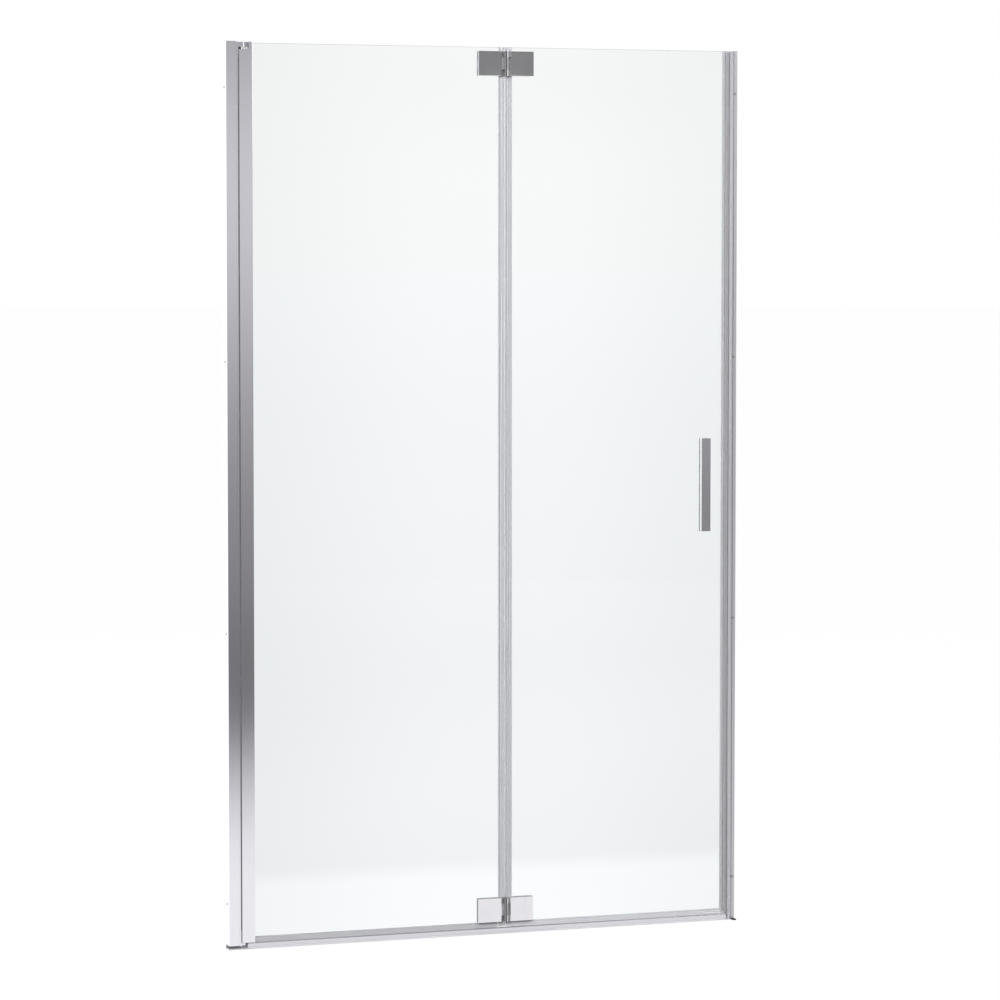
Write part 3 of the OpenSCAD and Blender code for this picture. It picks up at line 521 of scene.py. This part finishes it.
slotMaterials = {
    "bright_aluminium": brightAluminium("uprightAluminium", 2)[0],
    "chrome": polishedChrome("polishedChrome")[0],
    "clear_glass": clearGlass("firstGlass", glassLook["near"], glassLook["middle"], glassLook["firstSpan"]),
    "clear_seal": clearVinyl("strikeVinyl", 2, sealShadeTones["strike"], strikeDarkLine),
    "steel": satinSteel(),
    **{slot: moulded[slot] for slot in ("black_rubber", "grey_plastic", "white_nylon", "magnet_strip")},
}
hingeA = hingeChrome("hingeChromeA", "shadeAndHighlightA")
hingeB = hingeChrome("hingeChromeB", "shadeAndHighlightB")
ownMaterials = {
    "glass_b": clearGlass("secondGlass", glassLook["middle"], glassLook["far"], glassLook["secondSpan"]),
    "sill": sillMetal(),
    "strike_post": strikeAluminium(),
    "wall_channel_right": shadedSatinAluminium("wallAluminium")[0],
    "top_pivot_bracket": bracketChrome(),
    "bottom_pivot_bracket": bracketChrome(),
    "drip_seal_a": clearVinyl("dripVinylA", 0, sealShadeTones["dripA"]),
    "drip_seal_b": clearVinyl("dripVinylB", 0, sealShadeTones["dripB"]),
    "centre_seal_a": clearVinyl("foldVinylA", 2, sealShadeTones["foldA"], foldDarkLines, bulbLitLines),
    "centre_seal_b": clearVinyl("foldVinylB", 2, sealShadeTones["foldB"], [], secondLitLine),
    "top_hinge_leaf_a": hingeA,
    "bottom_hinge_leaf_a": hingeA,
    "top_hinge_leaf_b": hingeB,
    "bottom_hinge_leaf_b": hingeB,
    "handle_back_plate": darkFacedPlate(),
    "hinge_gap_seal": moulded["gap_rubber"],
    "foot_pad_left": moulded["pad_rubber"],
    "sill_end_seal": moulded["pale_rubber"],
    "strike_clips": moulded["pale_rubber"],
    "leaf_gaskets_a": moulded["pale_gasket"],
    "leaf_gaskets_b": moulded["pale_gasket"],
    "handle_gaskets": moulded["pale_gasket"],
}
nodeSlots = {s["node"]: s["material_slot"] for s in frame["record"]["subparts"]}
for name, node in nodes.items():
    node.material_slots[0].material = ownMaterials.get(name, slotMaterials[nodeSlots[name]])
print("materials made:", len(bpy.data.materials))


# Angles in degrees: what counts as flat and as a sharp edge
edgeShape = {"join": 0.00001, "flat": 0.5, "sharp": 40, "segments": 3, "faceWeight": 100}


def meshObject(name, verts, faces):
    mesh = bpy.data.meshes.new(name)
    mesh.from_pydata(verts, [], faces)
    made = bpy.data.objects.new(name, mesh)
    bpy.context.scene.collection.objects.link(made)
    return made


# Carries plan outlines straight up from one height to another
def sweepUp(name, outlines, z0, z1):
    verts = []
    faces = []
    for outline in outlines:
        count = len(outline)
        first = len(verts)
        above = first + count
        verts += [(x, y, z) for z in (z0, z1) for x, y in outline]
        for i in range(count):
            after = (i + 1) % count
            faces.append((first + i, first + after, above + after, above + i))
        faces.append([first + i for i in reversed(range(count))])
        faces.append([above + i for i in range(count)])
    return meshObject(name, verts, faces)


# Hollow round bulb, which reaches this many degrees to each side and is open where it joins the web
def bulbOutline(x, y, radius, wall, reach=165, count=28):
    turns = [math.radians(reach) * (2 * i / count - 1) for i in range(count + 1)]
    bore = radius - wall
    outer = [(x + radius * math.cos(a), y + radius * math.sin(a)) for a in turns]
    inner = [(x + bore * math.cos(a), y + bore * math.sin(a)) for a in reversed(turns)]
    return outer + inner


def softenEdges(made, width, segments=edgeShape["segments"]):
    soften = made.modifiers.new("roundEdges", "BEVEL")
    soften.width = width * mm
    soften.segments = segments
    soften.limit_method = "ANGLE"
    soften.angle_limit = math.radians(edgeShape["sharp"])
    soften.harden_normals = True


def dress(made, mat, slot, body, *replaced):
    made.data.materials.append(mat)
    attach(made, body)
    if replaced:
        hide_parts(*replaced)


# Seal between post and stile: its lip comes forward almost to the front, as the photo shows
gapSeal = {"lipIn": 1.6, "lipT": 1.1, "baseT": 1.2, "clear": 0.5, "round": 0.35}


def makeGapSeal():
    low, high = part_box("hinge_gap_seal")
    lipY = max(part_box("pivot_stile")[0].y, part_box("hinge_post")[0].y) + gapSeal["lipIn"] * mm
    rearY = lipY + gapSeal["lipT"] * mm
    baseX = low.x + gapSeal["baseT"] * mm
    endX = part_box("pivot_stile")[0].x - gapSeal["clear"] * mm
    outline = [(low.x, lipY), (endX, lipY), (endX, rearY), (baseX, rearY), (baseX, high.y), (low.x, high.y)]
    lip = sweepUp("gapSealLip", [outline], low.z, high.z)
    softenEdges(lip, gapSeal["round"])
    dress(lip, moulded["gap_rubber"], "black_rubber", "frame", "hinge_gap_seal")


# Seals on the glass edges, in millimetres. Their rear leg is shorter, so the front one hides it
edgeSeal = {
    "web": 1.6,
    "legT": 1.2,
    "frontShort": 0.8,
    "rearShort": 4.2,
    "besideLeaf": 3.1,  # length of both legs beside a hinge leaf
    "leafGap": 0.5,
    "bulbWall": 1.1,
    "noseHalf": 4.5,
    "round": 0.3,
}


# Outline of a seal gripping a glass edge at x, open to the left, from its front leg's free end at start
def gripOutline(start, x, rearShort):
    front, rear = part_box("glass_a")[0].y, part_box("glass_a")[1].y
    thick = edgeSeal["legT"] * mm
    end = x + edgeSeal["web"] * mm
    rearStart = start + rearShort * mm
    return [(start, front - thick), (end, front - thick), (end, rear + thick), (rearStart, rear + thick),
            (rearStart, rear), (x, rear), (x, front), (start, front)]


def makeFoldSeal():
    low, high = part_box("centre_seal_a")
    end = glassEnd + edgeSeal["web"] * mm
    radius = (high.x - end) / 2
    bulb = bulbOutline(end + radius, 0, radius, edgeSeal["bulbWall"] * mm)
    leaves = [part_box("bottom_hinge_leaf_a"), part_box("top_hinge_leaf_a")]
    heights = [low.z]
    for leafLow, leafHigh in leaves:
        heights += [leafLow.z - edgeSeal["leafGap"] * mm, leafHigh.z + edgeSeal["leafGap"] * mm]
    heights.append(high.z)
    vinyl = ownMaterials["centre_seal_a"]
    for k in range(len(heights) - 1):
        if k % 2:  # beside a leaf
            outline = gripOutline(glassEnd - edgeSeal["besideLeaf"] * mm, glassEnd, 0)
            # beside a leaf the seal takes the darker pale rubber, as painted shade between the leaves
            mat = moulded["pale_rubber"]
        else:
            outline = gripOutline(low.x + edgeSeal["frontShort"] * mm, glassEnd, edgeSeal["rearShort"])
            mat = vinyl
        part = sweepUp("foldSealPart%d" % (k + 1), [outline, bulb], heights[k], heights[k + 1])
        softenEdges(part, edgeSeal["round"])
        dress(part, mat, "clear_seal", "panel_a", *(["centre_seal_a"] if k == 0 else []))


def makeStrikeSeal():
    low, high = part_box("strike_edge_seal")
    grip = gripOutline(low.x, sealEnd, edgeSeal["rearShort"])
    half = edgeSeal["noseHalf"] * mm
    end = sealEnd + edgeSeal["web"] * mm
    outline = grip[:2] + [(end, -half), (high.x, -half), (high.x, half), (end, half)] + grip[2:]
    seal = sweepUp("strikeSealStrip", [outline], low.z, high.z)
    softenEdges(seal, edgeSeal["round"])
    dress(seal, slotMaterials["clear_seal"], "clear_seal", "panel_b", "strike_edge_seal")


# Flat bar with softened edges, a little wider than the clamp behind it
def makeHandleBar():
    low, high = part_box("handle_bar")
    left = low.x - handleBar["wider"] * mm
    outline = [(left, low.y), (high.x, low.y), (high.x, high.y), (left, high.y)]
    bar = sweepUp("handleFlatBar", [outline], low.z, high.z)
    softenEdges(bar, handleBar["round"], handleBar["segments"])
    dress(bar, barChrome(), "chrome", "panel_b", "handle_bar")


makeGapSeal()
makeFoldSeal()
makeStrikeSeal()
makeHandleBar()
print("seals and handle bar made")


# Small broken edges on the metal, so that they catch light
edgeBreaks = {
    "wall_channel_left": 0.35, "wall_channel_right": 0.35, "hinge_post": 0.35, "strike_post": 0.35,
    "pivot_stile": 0.45, "sill": 0.25,
}


def breakEdges(node, width):
    weld = node.modifiers.new("joinEdges", "WELD")
    weld.merge_threshold = edgeShape["join"]
    flat = node.modifiers.new("flatFaces", "DECIMATE")
    flat.decimate_type = "DISSOLVE"
    flat.angle_limit = math.radians(edgeShape["flat"])
    softenEdges(node, width)
    even = node.modifiers.new("evenShading", "WEIGHTED_NORMAL")
    even.weight = edgeShape["faceWeight"]
    even.keep_sharp = True


for name, width in edgeBreaks.items():
    breakEdges(nodes[name], width)
print("edges broken on", len(edgeBreaks), "metal pieces")


# Studio: white floor and background, and grey cards that only polished surfaces see
studio = {
    "floorSize": 400,
    "floorDrop": 0.0006,
    "floorFar": 10,
    "floorGlow": {"Is Camera Ray": 0.97, "Is Glossy Ray": 1.0, "Is Transmission Ray": 1.0},
    "floorBehind": [(0.0, 0.97), (0.1, 0.965), (0.26, 0.95), (0.41, 0.945), (0.69, 0.925), (0.905, 0.895),
                    (0.925, 0.98), (1.0, 0.98)],
    "floorLit": {"Is Camera Ray": 0.03, "Is Glossy Ray": 0.03, "Is Transmission Ray": 0.0},
    "worldGlow": {"Is Camera Ray": 1.0, "Is Glossy Ray": 1.0, "Is Transmission Ray": 0.97},
    "worldLevel": 0.62,
    "ringRadius": 9.6,
    "ringHeight": 6.0,
    "ringParts": 96,
    "toneBlue": 1.02,
    "floorHole": 1.1,
    "floorLift": 0.002,
    "ceilingHole": 0.01,
    "ringTones": [(0.0, 0.27), (0.4, 0.325), (0.76, 0.41), (1.13, 0.545), (1.5, 0.69), (1.85, 0.75),
                  (2.15, 0.67), (2.55, 0.48), (3.1, 0.38), (4.2, 0.60), (6.0, 0.60)],
    "floorTones": [(0.0, 0.98), (1.3, 1.02), (1.65, 0.99), (2.2, 0.80), (2.8, 0.54), (3.5, 0.25),
                   (4.2, 0.195), (9.0, 0.25)],
    "hingeSquare": {"left": (2.5, 3.1), "right": (4.3, 3.7), "foot": (1.9, 2.35), "top": (3.2, 2.65),
                    "ahead": (2.0, 0.0), "tone": 0.29},
    "behind": {"start": (0.0, 3.0), "tone": 0.98},
    "behindLeft": 1.28,
    "behindLeftAt": {"Y": (0.1, 0.6), "X": (0.0, -0.6)},
    "footCard": {"gap": 0.012, "width": 1.0, "near": 0.02, "far": 1.1, "lift": 0.003},
    "ceiling": 0.38,
    "floorLean": 0.92,
    "floorRight": {"start": (1.5, 3.5), "tone": (0.50, 0.50, 0.51)},
    "lampAim": (0, 0, 1.0),
    "lamps": [
        {"name": "keyLamp", "at": (-3.6, -5.2, 4.6), "size": 3.0, "power": 260},
        {"name": "fillLamp", "at": (4.8, -4.0, 3.4), "size": 3.0, "power": 120},
        {"name": "backLamp", "at": (1.0, 5.0, 4.8), "size": 3.5, "power": 160},
    ],
}


# Strength for each kind of ray: straight, in polished metal or through glass.
# A later kind overrules the earlier ones
def glowByRay(tree, levels, other=0.0):
    path = addNode(tree, "LightPath")
    glow = addNode(tree, "Value").outputs["Value"]
    glow.default_value = other
    for ray, level in levels.items():
        choose = addNode(tree, "Mix", {"B": level})
        tree.links.new(path.outputs[ray], choose.inputs["Factor"])
        tree.links.new(glow, choose.inputs["A"])
        glow = choose.outputs["Result"]
    return glow


def makeWorld():
    world = bpy.data.worlds.new("studioWorld")
    bpy.context.scene.world = world
    world.use_nodes = True
    tree = world.node_tree
    tree.nodes["Background"].inputs["Color"].default_value = (1, 1, 1, 1)
    glow = glowByRay(tree, studio["worldGlow"], studio["worldLevel"])
    tree.links.new(glow, tree.nodes["Background"].inputs["Strength"])


# Seen through glass, the floor takes the tones of floorBehind, from 0 far behind the door to 1 at the door
def makeFloor():
    half = studio["floorSize"] / 2
    z = cadLow.z - studio["floorDrop"]
    corners = [(-half, -half, z), (half, -half, z), (half, half, z), (-half, half, z)]
    floor = meshObject("studioFloor", corners, [(0, 1, 2, 3)])
    mat, tree, shader = startMaterial("paleFloor", {
        "Roughness": 1.0, "Specular IOR Level": 0.0, "Emission Color": (1, 1, 1, 1)})
    near = addNode(tree, "Math", {0: studio["floorFar"]}, operation="DIVIDE")
    reach = addNode(tree, "Math", {1: studio["floorFar"]}, operation="ADD")
    tree.links.new(doorAxis(tree, "Y"), reach.inputs[0])
    tree.links.new(reach.outputs["Value"], near.inputs[1])
    behind = addNode(tree, "Mix", {"A": (1, 1, 1, 1)}, data_type="RGBA")
    tree.links.new(addNode(tree, "LightPath").outputs["Is Transmission Ray"], behind.inputs["Factor"])
    tree.links.new(toneRamp(tree, near.outputs["Value"], studio["floorBehind"]), behind.inputs["B"])
    tree.links.new(behind.outputs["Result"], shader.inputs["Emission Color"])
    tree.links.new(glowByRay(tree, studio["floorLit"]), shader.inputs["Base Color"])
    tree.links.new(glowByRay(tree, studio["floorGlow"]), shader.inputs["Emission Strength"])
    floor.data.materials.append(mat)


def toneRamp(tree, value, tones):
    span = tones[-1][0]
    scale = addNode(tree, "MapRange", {"From Min": 0.0, "From Max": span})
    ramp = addNode(tree, "ValToRGB")
    stops = ramp.color_ramp.elements
    while len(stops) < len(tones):
        stops.new(0.5)
    for stop, (place, tone) in zip(stops, tones):
        stop.position = place / span
        stop.color = (tone, tone, tone * studio["toneBlue"], 1)
    tree.links.new(value, scale.inputs["Value"])
    tree.links.new(scale.outputs["Result"], ramp.inputs["Fac"])
    return ramp.outputs["Color"]


def glossCard(name, verts, faces, paint):
    card = meshObject(name, verts, faces)
    mat = bpy.data.materials.new(name + "Paint")
    mat.use_nodes = True
    tree = mat.node_tree
    tree.nodes.clear()
    axes = addNode(tree, "SeparateXYZ")
    tree.links.new(addNode(tree, "TexCoord").outputs["Object"], axes.inputs["Vector"])
    glow = addNode(tree, "Emission")
    tree.links.new(paint(tree, axes.outputs), glow.inputs["Color"])
    tree.links.new(glow.outputs["Emission"], addNode(tree, "OutputMaterial").inputs["Surface"])
    card.data.materials.append(mat)
    card.visible_camera = False
    card.visible_diffuse = False
    card.visible_transmission = False
    card.visible_volume_scatter = False
    card.visible_shadow = False


# Card between two rings, each given by its radius and height
def ringCard(name, first, second, paint):
    count = studio["ringParts"]
    turns = [2 * math.pi * i / count for i in range(count)]
    verts = [(radius * math.cos(a), radius * math.sin(a), z) for radius, z in (first, second) for a in turns]
    faces = [(i, (i + 1) % count, count + (i + 1) % count, count + i) for i in range(count)]
    glossCard(name, verts, faces, paint)


def paintOver(tree, share, below, tone):
    mix = addNode(tree, "Mix", data_type="RGBA")
    tree.links.new(share, mix.inputs["Factor"])
    tree.links.new(below, mix.inputs["A"])
    mix.inputs["B"].default_value = (tone, tone, tone, 1)
    return mix.outputs["Result"]


# Wall of cards: grey bands in front of the door, a dark square for the upper hinge, white behind
def paintWall(tree, axes):
    bands = toneRamp(tree, axes["Z"], studio["ringTones"])
    dark = studio["hingeSquare"]
    across = times(tree, softStep(tree, axes["X"], *dark["left"]), softStep(tree, axes["X"], *dark["right"]))
    upright = times(tree, softStep(tree, axes["Z"], *dark["foot"]), softStep(tree, axes["Z"], *dark["top"]))
    square = times(tree, times(tree, across, upright), softStep(tree, axes["Y"], *dark["ahead"]))
    bands = paintOver(tree, square, bands, dark["tone"])
    white = studio["behind"]
    bands = paintOver(tree, softStep(tree, axes["Y"], *white["start"]), bands, white["tone"])
    return paintOver(tree, behindLeft(tree, axes), bands, studio["behindLeft"])


# Bright area that the wall side of the left channel mirrors
def behindLeft(tree, axes):
    start = studio["behindLeftAt"]
    return times(tree, softStep(tree, axes["Y"], *start["Y"]), softStep(tree, axes["X"], *start["X"]))


def paintFloorCard(tree, axes):
    ahead = addNode(tree, "Math", operation="ABSOLUTE")
    tree.links.new(axes["Y"], ahead.inputs[0])
    lean = addNode(tree, "Math", operation="MULTIPLY_ADD")
    tree.links.new(axes["X"], lean.inputs[0])
    lean.inputs[1].default_value = -studio["floorLean"]
    tree.links.new(ahead.outputs["Value"], lean.inputs[2])
    bands = toneRamp(tree, lean.outputs["Value"], studio["floorTones"])
    lighter = addNode(tree, "Mix", data_type="RGBA", blend_type="LIGHTEN")
    lighter.inputs["B"].default_value = (*studio["floorRight"]["tone"], 1)
    tree.links.new(softStep(tree, axes["X"], *studio["floorRight"]["start"]), lighter.inputs["Factor"])
    tree.links.new(bands, lighter.inputs["A"])
    return paintOver(tree, behindLeft(tree, axes), lighter.outputs["Result"], studio["behindLeft"])


def evenTone(tree, axes, tone):
    return toneRamp(tree, axes["X"], [(0.0, tone), (1.0, tone)])


def paintCeiling(tree, axes):
    return evenTone(tree, axes, studio["ceiling"])


def paintFootCard(tree, axes):
    return evenTone(tree, axes, studio["behindLeft"])


# Wall, floor and ceiling around the door
def makeRoomCards():
    radius, top, lift = studio["ringRadius"], studio["ringHeight"], studio["floorLift"]
    ringCard("wallCard", (radius, 0.0), (radius, top), paintWall)
    ringCard("floorCard", (studio["floorHole"], lift), (radius, lift), paintFloorCard)
    ringCard("ceilingCard", (studio["ceilingHole"], top), (radius, top), paintCeiling)


# Small bright card on the floor beside the wall, for the foot of the left channel
def makeFootCard():
    card = studio["footCard"]
    inner, outer = cadLow.x - card["gap"], cadLow.x - card["width"]
    near, far, z = card["near"], card["far"], card["lift"]
    glossCard("footCard", [(outer, near, z), (inner, near, z), (inner, far, z), (outer, far, z)],
              [(0, 1, 2, 3)], paintFootCard)


def makeLamps():
    aim = Vector(studio["lampAim"])
    for lamp in studio["lamps"]:
        data = bpy.data.lights.new(lamp["name"], "AREA")
        data.size = lamp["size"]
        data.energy = lamp["power"]
        made = bpy.data.objects.new(lamp["name"], data)
        made.location = lamp["at"]
        made.rotation_euler = (aim - made.location).to_track_quat("-Z", "Y").to_euler()
        bpy.context.scene.collection.objects.link(made)


makeWorld()
makeFloor()
makeRoomCards()
makeFootCard()
makeLamps()
print("studio ready")


# Camera where the photograph was taken from
camera = {
    "at": (-3.08924, -8.58048, 1.56596),
    "turn": -20.0125,
    "tilt": -3.63147,
    "roll": -0.0138,
    "lens": 145.655,
    "sensor": 36,
    "farthest": 100,
}


def makeCamera():
    data = bpy.data.cameras.new("photoCamera")
    data.lens = camera["lens"]
    data.sensor_width = camera["sensor"]
    data.clip_end = camera["farthest"]
    made = bpy.data.objects.new("photoCamera", data)
    made.location = camera["at"]
    made.rotation_euler = [math.radians(a) for a in (90 + camera["tilt"], camera["roll"], camera["turn"])]
    bpy.context.scene.collection.objects.link(made)
    bpy.context.scene.camera = made


makeCamera()
bpy.context.scene.view_settings.view_transform = "Standard"
